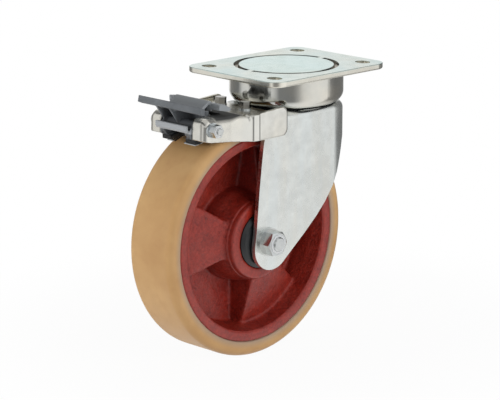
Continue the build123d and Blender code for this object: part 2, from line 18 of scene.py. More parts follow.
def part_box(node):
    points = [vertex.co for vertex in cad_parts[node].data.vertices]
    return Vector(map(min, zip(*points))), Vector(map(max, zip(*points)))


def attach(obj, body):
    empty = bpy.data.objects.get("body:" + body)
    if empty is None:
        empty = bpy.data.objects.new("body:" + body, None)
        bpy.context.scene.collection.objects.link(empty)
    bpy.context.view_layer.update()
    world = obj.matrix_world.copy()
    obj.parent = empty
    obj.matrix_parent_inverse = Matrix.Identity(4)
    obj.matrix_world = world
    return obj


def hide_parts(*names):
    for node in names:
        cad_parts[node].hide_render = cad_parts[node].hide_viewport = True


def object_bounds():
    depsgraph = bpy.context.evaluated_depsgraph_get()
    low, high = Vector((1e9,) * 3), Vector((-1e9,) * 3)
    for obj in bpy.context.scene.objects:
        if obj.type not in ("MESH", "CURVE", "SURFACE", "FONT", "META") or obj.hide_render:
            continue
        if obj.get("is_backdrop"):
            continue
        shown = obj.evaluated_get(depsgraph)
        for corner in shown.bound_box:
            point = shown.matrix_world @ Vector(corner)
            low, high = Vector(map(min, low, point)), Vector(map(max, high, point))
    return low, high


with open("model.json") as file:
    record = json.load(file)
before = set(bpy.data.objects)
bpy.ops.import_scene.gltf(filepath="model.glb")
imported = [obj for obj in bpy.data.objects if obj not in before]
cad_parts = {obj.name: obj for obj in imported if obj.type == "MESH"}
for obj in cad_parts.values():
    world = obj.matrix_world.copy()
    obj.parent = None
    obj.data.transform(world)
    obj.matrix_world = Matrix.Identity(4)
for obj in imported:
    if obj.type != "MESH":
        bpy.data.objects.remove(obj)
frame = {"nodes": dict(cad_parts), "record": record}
cad_low, cad_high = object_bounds()
nodes = frame["nodes"]
scene = bpy.context.scene
MM = 0.001
print("nodes:", len(nodes), "size in mm:", [round(v / MM, 1) for v in cad_high - cad_low])

# %% [markdown]
# ## Camera
# A long lens from the front right, a little above the wheel. The camera's own axes are
# built from two angles, so that the picture stays level.

# %% Camera
VIEW_AZIMUTH = math.radians(45.65)
VIEW_HEIGHT = math.radians(13.87)
VIEW_DISTANCE = 2.006665
AIM = Vector((0, 0, -0.11))
LENS_LEFT, LENS_DOWN = 0.030511, 0.007691
LENS_PIXELS = 2354.509
IMAGE_WIDTH = 500

back = Vector((
    math.sin(VIEW_AZIMUTH) * math.cos(VIEW_HEIGHT),
    -math.cos(VIEW_AZIMUTH) * math.cos(VIEW_HEIGHT),
    math.sin(VIEW_HEIGHT),
))
right = Vector((math.cos(VIEW_AZIMUTH), math.sin(VIEW_AZIMUTH), 0))
up = back.cross(right)
camera_data = bpy.data.cameras.new("studio_camera")
camera_data.sensor_width = 36
camera_data.lens = LENS_PIXELS * camera_data.sensor_width / IMAGE_WIDTH
camera_data.clip_start = 0.05
camera = bpy.data.objects.new("studio_camera", camera_data)
scene.collection.objects.link(camera)
place = AIM + back * VIEW_DISTANCE - right * LENS_LEFT - up * LENS_DOWN
camera.matrix_world = Matrix.Translation(place) @ Matrix((right, up, back)).transposed().to_4x4()
scene.camera = camera
scene.view_settings.view_transform = "Standard"
print("lens in mm:", round(camera_data.lens, 2))

# %% [markdown]
# ## Node helpers
# Light, floor, finishes and grown pieces are all trees of small nodes. The two kinds
# that come up most get a helper each: one step of arithmetic, and one range of values
# mapped to another. A number goes straight into a socket, and another node's output is
# linked to it.


# %% Node helpers
def connect(tree, value, socket):
    if isinstance(value, (int, float)):
        socket.default_value = value
    else:
        tree.links.new(value, socket)


def calc(tree, operation, first, second=0.0):
    """One Math node, in a tree of any kind."""
    node = tree.nodes.new("ShaderNodeMath")
    node.operation = operation
    connect(tree, first, node.inputs[0])
    connect(tree, second, node.inputs[1])
    return node.outputs[0]


def mapped(tree, value, low, high, to_low=0.0, to_high=1.0, curve="LINEAR"):
    """Low to high becomes to_low to to_high, and what lies beyond is held at the ends."""
    node = tree.nodes.new("ShaderNodeMapRange")
    node.interpolation_type = curve
    keys = ("From Min", "From Max", "To Min", "To Max")
    for key, number in zip(keys, (low, high, to_low, to_high)):
        node.inputs[key].default_value = number
    tree.links.new(value, node.inputs["Value"])
    return node.outputs["Result"]


print("helpers:", connect.__name__, calc.__name__, mapped.__name__)

# %% [markdown]
# ## Studio light
# Plated steel shows what stands around it. The studio is a ring of white panels with
# dark gaps: one behind the camera and one on each far side, which draw the dark edges
# that make a round cup look round. The world holds these panels for reflections only.
# Matt surfaces get a weaker, even light from it, and three soft lamps shape them.

# %% The ring of panels
# bearing from the camera's side in degrees, and the brightness there
STUDIO = (
    (-180, 0.95), (-160, 0.9), (-150, 0.25), (-112, 0.22), (-100, 0.8), (-84, 0.9),
    (-74, 0.5), (-50, 0.35), (-40, 0.7), (-30, 0.85), (-22, 0.6), (-15, 0.27), (14, 0.25),
    (24, 0.45), (33, 0.8), (45, 0.95), (60, 1.0), (92, 1.0), (98, 0.28), (114, 0.2),
    (160, 0.2), (174, 0.9),
)
CAMERA_BEARING = math.degrees(VIEW_AZIMUTH) - 90
world = bpy.data.worlds.new("studio")
world.use_nodes = True
scene.world = world
sky = world.node_tree
sky.nodes.clear()
way = sky.nodes.new("ShaderNodeTexCoord").outputs["Generated"]
parts = sky.nodes.new("ShaderNodeSeparateXYZ")
sky.links.new(way, parts.inputs[0])
bearing = calc(sky, "ARCTAN2", parts.outputs["Y"], parts.outputs["X"])
panels = sky.nodes.new("ShaderNodeValToRGB")
stops = sorted((((a + CAMERA_BEARING + 180) % 360) / 360, v) for a, v in STUDIO)
for share, _ in stops[1:-1]:
    panels.color_ramp.elements.new(share)
for stop, (share, v) in zip(panels.color_ramp.elements, stops):
    stop.position = share
    stop.color = (v, v, v, 1)
sky.links.new(mapped(sky, bearing, -math.pi, math.pi), panels.inputs["Fac"])
print("studio panels:", len(STUDIO))

# %% Above the panels
UPPER_PANEL, CEILING = 0.7, 0.6
# the gap behind the camera is low: above the horizon a white panel closes it
facing = sky.nodes.new("ShaderNodeVectorMath")
facing.operation = "DOT_PRODUCT"
facing.inputs[1].default_value = Vector((back.x, back.y, 0)).normalized()
sky.links.new(way, facing.inputs[0])
near_side = mapped(sky, facing.outputs["Value"], 0.6, 0.85, 0.0, UPPER_PANEL)
above_horizon = mapped(sky, parts.outputs["Z"], 0.02, 0.18)
upper_panel = calc(sky, "MULTIPLY", near_side, above_horizon)
ring = calc(sky, "MAXIMUM", panels.outputs["Color"], upper_panel)
# overhead the bearing means nothing, so the panels fade into an even ceiling
overhead = mapped(sky, parts.outputs["Z"], 0.70, 0.92, curve="SMOOTHSTEP")
with_ceiling = sky.nodes.new("ShaderNodeMix")
with_ceiling.data_type = "FLOAT"
with_ceiling.inputs[3].default_value = CEILING
sky.links.new(overhead, with_ceiling.inputs["Factor"])
sky.links.new(ring, with_ceiling.inputs[2])
print("panel above the camera:", UPPER_PANEL, "ceiling:", CEILING)

# %% What each ray sees of the studio
MATT_LIGHT = 0.33
rays = sky.nodes.new("ShaderNodeLightPath").outputs
glossy = calc(sky, "MULTIPLY", rays["Is Glossy Ray"], with_ceiling.outputs[0])
seen = calc(sky, "MAXIMUM", rays["Is Camera Ray"], glossy)
even = calc(sky, "MULTIPLY", rays["Is Diffuse Ray"], MATT_LIGHT)
sky_light = sky.nodes.new("ShaderNodeBackground")
sky_light.inputs["Color"].default_value = (1, 1, 1, 1)
sky.links.new(calc(sky, "MAXIMUM", seen, even), sky_light.inputs["Strength"])
sky.links.new(sky_light.outputs[0], sky.nodes.new("ShaderNodeOutputWorld").inputs[0])
print("even light on matt surfaces:", MATT_LIGHT)


# %% Lamps
def soft_lamp(name, at, size, power):
    """A square lamp turned to the middle of the castor, unseen by reflections."""
    data = bpy.data.lights.new(name, "AREA")
    data.size = size
    data.energy = power
    lamp = bpy.data.objects.new(name, data)
    scene.collection.objects.link(lamp)
    lamp.location = at
    lamp.rotation_euler = (Vector(at) - MIDDLE).to_track_quat("Z", "Y").to_euler()
    lamp.visible_glossy = False


MIDDLE = Vector((0, -0.05, -0.12))
soft_lamp("key_lamp", (1.15, -0.1, 0.12), 0.9, 8.0)
soft_lamp("front_lamp", (-0.55, -1.15, -0.12), 0.6, 10.5)
soft_lamp("top_lamp", (-0.1, 0.35, 1.2), 0.9, 2.4)

# %% [markdown]
# ## Floor
# A pale disc. Far from the wheel it fades to the white of the world, so no edge shows,
# and near the wheel part of it stays an ordinary matt floor that takes a soft shadow.
# Reflections look past its outer part to the panels of the studio, and from below it is
# open, so the underside of the castor can be looked at.

# %% Floor
FLOOR_RADIUS = 3.0
bm = bmesh.new()
bmesh.ops.create_circle(bm, cap_ends=True, radius=FLOOR_RADIUS, segments=96)
bmesh.ops.translate(bm, verts=bm.verts, vec=(0, 0, cad_low.z))
floor_mesh = bpy.data.meshes.new("studio_floor")
bm.to_mesh(floor_mesh)
bm.free()
floor = bpy.data.objects.new("studio_floor", floor_mesh)
scene.collection.objects.link(floor)
floor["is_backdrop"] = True
print("floor at", round(cad_low.z, 4))

# %% Floor finish
FADE_FROM, FADE_TO = 0.26, 0.42
WHITE_AT_WHEEL = 0.95
floor_material = bpy.data.materials.new("pale_floor")
floor_material.use_nodes = True
tree = floor_material.node_tree
tree.nodes.clear()


def mixed(share, first, second):
    """Two shaders of the floor mixed."""
    node = tree.nodes.new("ShaderNodeMixShader")
    for socket, output in zip(node.inputs, (share, first, second)):
        tree.links.new(output, socket)
    return node.outputs[0]


reach = tree.nodes.new("ShaderNodeVectorMath")
reach.operation = "LENGTH"
tree.links.new(tree.nodes.new("ShaderNodeTexCoord").outputs["Object"], reach.inputs[0])
away = reach.outputs["Value"]
floor_rays = tree.nodes.new("ShaderNodeLightPath").outputs
underside = tree.nodes.new("ShaderNodeNewGeometry").outputs["Backfacing"]
fade = mapped(tree, away, FADE_FROM, FADE_TO, WHITE_AT_WHEEL, 1.0, "SMOOTHSTEP")
shown = calc(tree, "MAXIMUM", floor_rays["Is Camera Ray"], floor_rays["Is Glossy Ray"])
unlit = calc(tree, "MAXIMUM", calc(tree, "MULTIPLY", fade, shown), underside)
outer = mapped(tree, away, FADE_FROM, FADE_TO)
past = calc(tree, "MULTIPLY", outer, floor_rays["Is Glossy Ray"])
matt = tree.nodes.new("ShaderNodeBsdfDiffuse")
matt.inputs["Color"].default_value = (0.9, 0.9, 0.9, 1)
white = tree.nodes.new("ShaderNodeEmission").outputs[0]
clear = tree.nodes.new("ShaderNodeBsdfTransparent").outputs[0]
white_or_clear = mixed(calc(tree, "MAXIMUM", past, underside), white, clear)
surface = mixed(unlit, matt.outputs[0], white_or_clear)
tree.links.new(surface, tree.nodes.new("ShaderNodeOutputMaterial").inputs[0])
floor_mesh.materials.append(floor_material)
print("floor nodes:", len(tree.nodes))

# %% [markdown]
# ## Helpers for finishes
# Every finish is one Principled shader. Patterns read Object coordinates in metres, so
# a grain keeps its real size on every piece, and a pattern stays still when a body
# moves.


# %% Helpers for finishes
class Finish:
    """A material under construction, with short words for the nodes it is made of."""

    def __init__(self, name, roughness=0.5, metallic=0.0):
        self.take(bpy.data.materials.new(name))
        self.shader.inputs["Roughness"].default_value = roughness
        self.shader.inputs["Metallic"].default_value = metallic

    def take(self, material):
        self.material = material
        material.use_nodes = True
        self.tree = material.node_tree
        self.nodes, self.links = self.tree.nodes, self.tree.links
        self.shader = self.nodes["Principled BSDF"]
        self.coords = self.nodes.new("ShaderNodeTexCoord").outputs["Object"]

    @classmethod
    def again(cls, material):
        """Takes up a finished material for one more layer."""
        self = cls.__new__(cls)
        self.take(material)
        return self

    def split(self):
        """Object coordinates as three separate values."""
        node = self.nodes.new("ShaderNodeSeparateXYZ")
        self.links.new(self.coords, node.inputs[0])
        return node.outputs

    def stretched(self, scale, turn=(0, 0, 0), centre=(0, 0, 0)):
        """Object coordinates moved to a centre, turned and stretched."""
        node = self.nodes.new("ShaderNodeMapping")
        node.vector_type = "TEXTURE"
        node.inputs["Location"].default_value = centre
        node.inputs["Rotation"].default_value = [math.radians(a) for a in turn]
        node.inputs["Scale"].default_value = scale
        self.links.new(self.coords, node.inputs["Vector"])
        return node.outputs["Vector"]

    def noise(self, size, detail=2.0, rough=0.5, vector=None):
        """Cloudy pattern whose features are about `size` metres wide."""
        node = self.nodes.new("ShaderNodeTexNoise")
        node.inputs["Scale"].default_value = 1 / size
        node.inputs["Detail"].default_value = detail
        node.inputs["Roughness"].default_value = rough
        self.links.new(vector or self.coords, node.inputs["Vector"])
        return node.outputs["Fac"]

    def cells(self, size):
        """Distance to scattered points about `size` metres apart."""
        node = self.nodes.new("ShaderNodeTexVoronoi")
        node.inputs["Scale"].default_value = 1 / size
        self.links.new(self.coords, node.inputs["Vector"])
        return node.outputs["Distance"]

    def remap(self, value, low, high, to_low, to_high):
        return mapped(self.tree, value, low, high, to_low, to_high)

    def math(self, operation, first, second=0.0):
        return calc(self.tree, operation, first, second)

    def overlap(self, first, *others):
        """A mask that is 1 only where all of these are."""
        for mask in others:
            first = self.math("MULTIPLY", first, mask)
        return first

    def between(self, factor, first, second):
        """A colour between two others, either of which may be a pattern."""
        node = self.nodes.new("ShaderNodeMix")
        node.data_type = "RGBA"
        self.links.new(factor, node.inputs["Factor"])
        for socket, value in ((node.inputs[6], first), (node.inputs[7], second)):
            if isinstance(value, tuple):
                socket.default_value = (*value, 1)
            else:
                self.links.new(value, socket)
        return node.outputs[2]

    def bump(self, height, depth, under=None):
        """Raises the surface by `depth` metres where the pattern is 1."""
        node = self.nodes.new("ShaderNodeBump")
        node.inputs["Distance"].default_value = depth
        self.links.new(height, node.inputs["Height"])
        if under is not None:
            self.links.new(under, node.inputs["Normal"])
        return node.outputs["Normal"]

    def set(self, **sockets):
        """Links patterns to the shader's sockets, or sets them to plain values."""
        for name, value in sockets.items():
            socket = self.shader.inputs[name.replace("_", " ").title().replace("Ior", "IOR")]
            connect(self.tree, value, socket)
        return self.material

    def tint(self, mask, colour):
        """Lays another colour over the finish where the mask is 1."""
        under = self.shader.inputs["Base Color"].links[0].from_socket
        self.set(base_color=self.between(mask, under, colour))


finishes = {}
print("words:", [word for word in vars(Finish) if not word.startswith("_")])

# %% [markdown]
# ## Bright zinc plating
# Zinc is dull grey metal. Its clear passivation adds a faint blue or straw tint that
# drifts over the sheet, and the rolled sheet below leaves fine lines. So the colour is
# two pale tints mixed by a wide noise, the roughness has its own clouds and a few
# smudges, and two bumps give the rolling lines and the plating's grain.

# %% Zinc finishes
# cool tint, warm tint, roughness, width of the rolling lines along x, y and z, their
# depth, and for the fork the drift of the tint and how much it is worn
ZINC = {
    "zinc_plate": ((0.56, 0.70, 0.68), (0.76, 0.78, 0.70), 0.22, (0.08, 0.004, 0.08), 0.000005),
    "zinc_cup": ((0.62, 0.63, 0.60), (0.76, 0.72, 0.63), 0.15, (0.03, 0.03, 0.0012), 0.000006),
    "zinc_fork": ((0.73, 0.765, 0.755), (0.80, 0.805, 0.76), 0.24, (0.02, 0.0012, 0.06),
                  0.000008, (0.05, 0.012, 0.09), 0.2),
    "zinc_bracket": ((0.74, 0.735, 0.69), (0.81, 0.775, 0.68), 0.22, (0.03, 0.05, 0.0012),
                     0.000008),
    "zinc_bolt": ((0.56, 0.60, 0.62), (0.70, 0.69, 0.65), 0.2, (0.01, 0.0006, 0.01), 0.000006),
    "bearing_steel": ((0.56, 0.56, 0.57), (0.62, 0.60, 0.56), 0.18, (0.02, 0.0005, 0.02),
                      0.000004),
    "spring_steel": ((0.52, 0.55, 0.57), (0.62, 0.61, 0.58), 0.28, (0.03, 0.0008, 0.03), 0.00001),
    # painted shade: a darker copy of the bolt zinc, for the two screws of the brake leaf
    "screw_zinc": ((0.26, 0.26, 0.25), (0.36, 0.31, 0.22), 0.18, (0.01, 0.0006, 0.01), 0.000006),
}
SPECK = (0.42, 0.43, 0.42)


def zinc(name, cool, warm, roughness, lines, depth, flow=(0.05, 0.05, 0.05), wear=0.3):
    f = Finish(name, roughness, metallic=1.0)
    drift = f.remap(f.noise(1.0, 3.0, 0.55, f.stretched(flow)), 0.36, 0.64, 0.0, 1.0)
    clouds = f.remap(f.noise(0.011, 4.0, 0.65), 0.3, 0.72, 0.0, 1.0)
    worn = tuple(0.86 * c for c in cool)
    colour = f.between(f.math("MULTIPLY", clouds, wear), f.between(drift, cool, warm), worn)
    specks = f.remap(f.cells(0.009), 0.015, 0.05, 1.3 * wear, 0.0)
    colour = f.between(f.math("MULTIPLY", specks, clouds), colour, SPECK)
    cloudy = f.remap(clouds, 0, 1, roughness - 0.05, roughness + 0.09)
    rough = f.math("ADD", cloudy, f.remap(drift, 0, 1, -0.04, 0.04))
    rolled = f.noise(1.0, 2.0, 0.6, f.stretched(lines))
    grain = f.bump(f.noise(0.0012, 3.0), 0.5 * depth)
    return f.set(base_color=colour, roughness=rough, normal=f.bump(rolled, depth, grain))


for name, values in ZINC.items():
    finishes[name] = zinc(name, *values)
print("zinc finishes:", len(finishes))

# %% [markdown]
# ## Painted shade and tints
# The pressed groove of the plate gets painted shade, brown towards two of its ends as a
# painted reflection, and the bracket under the pedal gets painted shade. The pressed disc is
# bluer than the sheet round it, and the cut edge of the plate is straw coloured. Each is a
# mask on Object coordinates: it picks the spot by its place, and lays another colour over the
# finish.

# %% Tints of the plate
DISC_EDGE, RING_INNER, RING_OUTER = (0.0385, 0.0398), (0.0455, 0.0460), (0.0460, 0.0465)
IN_GROOVE, BELOW_TOP = (-0.0004, -0.0001), (-0.0010, -0.0004)
plate = Finish.again(finishes["zinc_plate"])
at = plate.split()
squares = [plate.math("MULTIPLY", at[axis], at[axis]) for axis in "XY"]
from_middle = plate.math("SQRT", plate.math("ADD", *squares))
in_ring = plate.remap(from_middle, *RING_INNER, 1.0, 0.0)
pressed = plate.remap(at["Z"], *IN_GROOVE, 0.92, 0.0)
# painted reflection: towards two opposite corners of the plate the ring is painted brown
across = plate.math("ABSOLUTE", plate.math("ADD", at["X"], at["Y"]))
painted_reflection_ends = plate.remap(across, 0.049, 0.060, 0.0, 1.0)
# painted shade: the groove is painted dark, and brown towards those corners
painted_groove_shade = plate.between(painted_reflection_ends, (0.035, 0.037, 0.036), (0.34, 0.29, 0.22))
plate.tint(plate.overlap(in_ring, pressed), painted_groove_shade)
plate.tint(plate.remap(from_middle, *DISC_EDGE, 0.6, 0.0), (0.60, 0.79, 0.765))
cut_edge = plate.remap(at["Z"], *BELOW_TOP, 0.85, 0.0)
outside = plate.remap(from_middle, *RING_OUTER, 0.0, 1.0)
plate.tint(plate.overlap(cut_edge, outside), (0.82, 0.78, 0.69))
print("plate nodes:", len(plate.nodes))

# %% Painted shade under the pedal
shaded_bracket = Finish.again(finishes["zinc_bracket"])
at = shaded_bracket.split()
front = shaded_bracket.remap(at["Y"], -0.1150, -0.1110, 0.0, 1.0)
rear = shaded_bracket.remap(at["Y"], -0.0850, -0.0800, 1.0, 0.0)
between_arms = shaded_bracket.remap(shaded_bracket.math("ABSOLUTE", at["X"]), 0.0315, 0.0335, 0.95, 0.0)
painted_bracket_shade = shaded_bracket.overlap(front, rear, between_arms)
# painted shade: the bracket's top under the pedal is painted dark
shaded_bracket.tint(painted_bracket_shade, (0.03, 0.032, 0.034))
# the painted shade is matt and no metal, so it does not flash at a low angle
clean_roughness = shaded_bracket.shader.inputs["Roughness"].links[0].from_socket
shade_roughness = shaded_bracket.math("MULTIPLY", painted_bracket_shade, 0.9)
shaded_bracket.set(metallic=shaded_bracket.remap(painted_bracket_shade, 0, 1, 1, 0),
           roughness=shaded_bracket.math("MAXIMUM", clean_roughness, shade_roughness))
print("bracket nodes:", len(shaded_bracket.nodes))

# %% [markdown]
# ## Painted iron
# The wheel is cast in sand, so its skin is grainy, and the brick red primer on it is
# thin on the high grains and thick in the hollows. The turned faces of the rim and hub
# are smoother. One finish does both: the grain fades out where the piece is turned,
# which is measured along the axle.

# %% Red casting
SAND_GRAIN, LUMP, PIT = 0.0024, 0.009, 0.0045
THICK_PRIMER, THIN_PRIMER = (0.13, 0.006, 0.003), (0.36, 0.026, 0.013)
DUST = (0.40, 0.085, 0.06)
cast = Finish("red_casting", 0.5)
sand = cast.noise(SAND_GRAIN, 5.0, 0.72)
lumps = cast.noise(LUMP, 3.0, 0.55)
pits = cast.remap(cast.cells(PIT), 0.05, 0.16, 0.0, 1.0)
grains = cast.math("ADD", cast.math("MULTIPLY", sand, 0.65),
                   cast.math("MULTIPLY", lumps, 0.35))
primer = cast.between(cast.remap(grains, 0.34, 0.66, 0.0, 1.0), THICK_PRIMER, THIN_PRIMER)
dusty = cast.remap(cast.noise(0.03, 4.0, 0.6), 0.42, 0.75, 0.0, 0.22)
primer = cast.between(dusty, primer, DUST)
raw = cast.remap(cast.math("ABSOLUTE", cast.split()["X"]), 0.0225, 0.0240, 1.0, 0.12)
skin_height = cast.math("ADD", cast.math("MULTIPLY", sand, 0.4), lumps)
cast_skin = cast.bump(cast.math("MULTIPLY", skin_height, raw), 0.0019, cast.bump(pits, 0.0001))
finishes["red_casting"] = cast.set(
    base_color=primer,
    roughness=cast.remap(sand, 0.3, 0.7, 0.5, 0.34),
    normal=cast_skin,
    coat_weight=0.3,
    coat_roughness=0.3,
)
print("casting grain in mm:", SAND_GRAIN / MM)

# %% [markdown]
# ## Polyurethane tread
# Cast polyurethane is honey coloured, slightly cloudy and satin. The running face is
# turned in a lathe, which leaves fine rings round it. Next to the rim the thin edge of
# the band lets the dark bonding coat show through as a grey shade, which is mixed in by
# the distance from the axle.

# %% Tread finish
AXLE = Vector((0, -0.0574, -0.137))
HONEY, PALE_HONEY = (0.50, 0.285, 0.115), (0.60, 0.37, 0.165)
DARK_HONEY = (0.44, 0.225, 0.085)
BOND = (0.36, 0.29, 0.24)
BOND_RADIUS = 0.0875
urethane = Finish("tread_urethane", 0.4)
cloud = urethane.remap(urethane.noise(0.05, 3.0, 0.5), 0.35, 0.65, 0.0, 1.0)
honey = urethane.between(cloud, HONEY, PALE_HONEY)
smear = urethane.remap(urethane.noise(0.012, 4.0, 0.6), 0.5, 0.8, 0.0, 0.35)
honey = urethane.between(smear, honey, DARK_HONEY)
from_axle = urethane.nodes.new("ShaderNodeVectorMath")
from_axle.operation = "LENGTH"
flat_of_axle = urethane.nodes.new("ShaderNodeVectorMath")
flat_of_axle.operation = "MULTIPLY"
flat_of_axle.inputs[1].default_value = (0, 1, 1)
urethane.links.new(urethane.stretched((1, 1, 1), centre=AXLE), flat_of_axle.inputs[0])
urethane.links.new(flat_of_axle.outputs[0], from_axle.inputs[0])
bond = urethane.remap(from_axle.outputs["Value"], 0.0876, 0.0935, 0.75, 0.0)
honey = urethane.between(bond, honey, BOND)
turning = urethane.noise(1.0, 2.0, 0.5, urethane.stretched((0.0007, 0.4, 0.4)))
skin = urethane.noise(0.0022, 3.0)
finishes["tread_urethane"] = urethane.set(
    base_color=honey,
    roughness=urethane.remap(cloud, 0, 1, 0.36, 0.48),
    normal=urethane.bump(turning, 0.00006, urethane.bump(skin, 0.00005)),
    specular_ior_level=0.38,
)
print("tread nodes:", len(urethane.nodes))

# %% [markdown]
# ## Plastics and rubber
# The pedal is glass filled nylon: dark grey, with a fine spark eroded grain from the
# mould and paler scuffs. The seals and caps are black and smoother, the brake pads are
# matt rubber, and the collars in the nuts are pale nylon.

# %% Plastic finishes
# dark, pale, roughness, size and depth of the grain, scuffs
MOULDED = {
    "pedal_plastic": ((0.115, 0.125, 0.135), (0.22, 0.235, 0.25), 0.5, 0.0006, 0.00007, 0.6),
    "black_plastic": ((0.006, 0.007, 0.008), (0.026, 0.028, 0.030), 0.34, 0.0007, 0.00003, 0.3),
    "pad_rubber": ((0.013, 0.013, 0.014), (0.05, 0.05, 0.05), 0.7, 0.0011, 0.00010, 0.5),
    "nylon_collar": ((0.62, 0.64, 0.66), (0.78, 0.78, 0.76), 0.42, 0.0008, 0.00002, 0.3),
}


def moulded(name, dark, pale, roughness, grain_size, grain_depth, scuff):
    f = Finish(name, roughness)
    broad = f.remap(f.noise(0.02, 4.0, 0.6), 0.35, 0.7, 0.0, 1.0)
    fine = f.noise(grain_size, 3.0, 0.6)
    strokes = f.noise(1.0, 4.0, 0.65, f.stretched((0.012, 0.0012, 0.003), (0, 0, 20)))
    scuffs = f.remap(strokes, 0.56, 0.8, 0.0, scuff)
    colour = f.between(broad, dark, tuple(0.5 * (a + b) for a, b in zip(dark, pale)))
    return f.set(
        base_color=f.between(scuffs, colour, pale),
        roughness=f.remap(fine, 0.3, 0.7, roughness - 0.06, roughness + 0.08),
        normal=f.bump(fine, grain_depth),
    )


for name, values in MOULDED.items():
    finishes[name] = moulded(name, *values)
print("finishes:", len(finishes))

# %% [markdown]
# ## Wear and painted light of the pedal
# The top of the pedal is pale, from the sole's wear and as painted light, its cross bar gets a
# painted highlight on its front, and the hollow between the ribs is painted dark as painted
# shade. These are masks on Object coordinates again.

# %% Wear and painted light of the pedal
pedal = Finish.again(finishes["pedal_plastic"])
at = pedal.split()
# painted shade: the hollow between the ribs is painted dark
behind = pedal.remap(at["Y"], -0.1285, -0.1235, 0.0, 1.0)
under = pedal.remap(at["Z"], -0.0225, -0.0205, 0.86, 0.0)
between_ribs = pedal.remap(pedal.math("ABSOLUTE", at["X"]), 0.0178, 0.0186, 1.0, 0.0)
pedal.tint(pedal.overlap(behind, under, between_ribs), (0.075, 0.08, 0.088))
# the pale top: wear from the sole, and painted light on the upward faces
on_top = pedal.remap(at["Z"], -0.0226, -0.0222, 0.0, 0.75)
past_lip = pedal.remap(at["Y"], -0.1285, -0.1275, 0.0, 1.0)
pedal.tint(pedal.overlap(on_top, past_lip), (0.31, 0.33, 0.345))
# painted highlight on the front face of the cross bar
bar_top = pedal.remap(at["Z"], -0.0312, -0.0308, 0.85, 0.0)
bar_back = pedal.remap(at["Y"], -0.1262, -0.1258, 1.0, 0.0)
bar_foot = pedal.remap(at["Z"], -0.0390, -0.0385, 0.0, 1.0)
pedal.tint(pedal.overlap(bar_top, bar_back, bar_foot), (0.40, 0.42, 0.44))
print("pedal nodes:", len(pedal.nodes))

# %% [markdown]
# ## Dress the solids
# The record says which finish each node takes, so one loop dresses them all. The two
# screws of the brake leaf get painted shade: a darker copy of the bolt zinc.

# %% Dress the solids
slot_of = {part["node"]: part["material_slot"] for part in frame["record"]["subparts"]}
# painted shade: these two screws take the darker zinc
dark_screws = ("leaf_screw_near", "leaf_screw_far")
for name, piece in nodes.items():
    finish = finishes["screw_zinc" if name in dark_screws else slot_of[name]]
    for material_slot in piece.material_slots:
        material_slot.material = finish
print("dressed:", len(slot_of))

# %% [markdown]
# ## Geometry Nodes: trees and what they leave
# A piece that follows a rule is grown by a tree of Geometry Nodes with named inputs.
# Every tree ends alike: instances made real, and the finish laid on. The tree runs on a
# start mesh, and its result is kept as a plain mesh, so nothing live is left behind.


# %% Starting and ending a tree
def new_tree(name, **inputs):
    """A tree with named inputs, and the node that hands those inputs out."""
    tree = bpy.data.node_groups.new(name, "GeometryNodeTree")
    for key, kind in inputs.items():
        tree.interface.new_socket(key, in_out="INPUT", socket_type="NodeSocket" + kind)
    tree.interface.new_socket("Geometry", in_out="OUTPUT", socket_type="NodeSocketGeometry")
    return tree, tree.nodes.new("NodeGroupInput").outputs


def end_tree(tree, shape, finish):
    real = tree.nodes.new("GeometryNodeRealizeInstances")
    dress = tree.nodes.new("GeometryNodeSetMaterial")
    tree.links.new(shape, real.inputs[0])
    tree.links.new(real.outputs[0], dress.inputs["Geometry"])
    tree.links.new(finish, dress.inputs["Material"])
    tree.links.new(dress.outputs[0], tree.nodes.new("NodeGroupOutput").inputs[0])
    print("inputs:", [s.name for s in tree.interface.items_tree if s.in_out == "INPUT"])


print("helpers:", new_tree.__name__, end_tree.__name__)


# %% Running a tree and keeping its mesh
def new_object(name, mesh):
    piece = bpy.data.objects.new(name, mesh)
    scene.collection.objects.link(piece)
    return piece


def points_mesh(name, points):
    mesh = bpy.data.meshes.new(name)
    mesh.from_pydata(points, [], [])
    return mesh


def grown(name, start, tree, sharp=35, **inputs):
    """Runs a tree on a mesh and keeps the result as a plain mesh with outward faces."""
    carrier = new_object(name + "_start", start)
    modifier = carrier.modifiers.new("grow", "NODES")
    modifier.node_group = tree
    ids = {s.name: s.identifier for s in tree.interface.items_tree if s.in_out == "INPUT"}
    for key, given in inputs.items():
        modifier[ids[key.capitalize()]] = given
    live = carrier.evaluated_get(bpy.context.evaluated_depsgraph_get())
    mesh = bpy.data.meshes.new_from_object(live)
    mesh.name = name
    bpy.data.objects.remove(carrier)
    bm = bmesh.new()
    bm.from_mesh(mesh)
    bmesh.ops.recalc_face_normals(bm, faces=bm.faces)
    bm.to_mesh(mesh)
    bm.free()
    mesh.shade_smooth()
    mesh.set_sharp_from_angle(angle=math.radians(sharp))
    print(name, "faces:", len(mesh.polygons))
    return new_object(name, mesh)


print("helpers:", new_object.__name__, points_mesh.__name__, grown.__name__)

# %% [markdown]
# ## Turned pieces by Geometry Nodes
# The tread is a profile turned round the axle. The tree takes the profile's points,
# lays a grid with one column for each of them, and bends it round: each grid point
# looks up its profile point and takes its radius and its place along the axle.

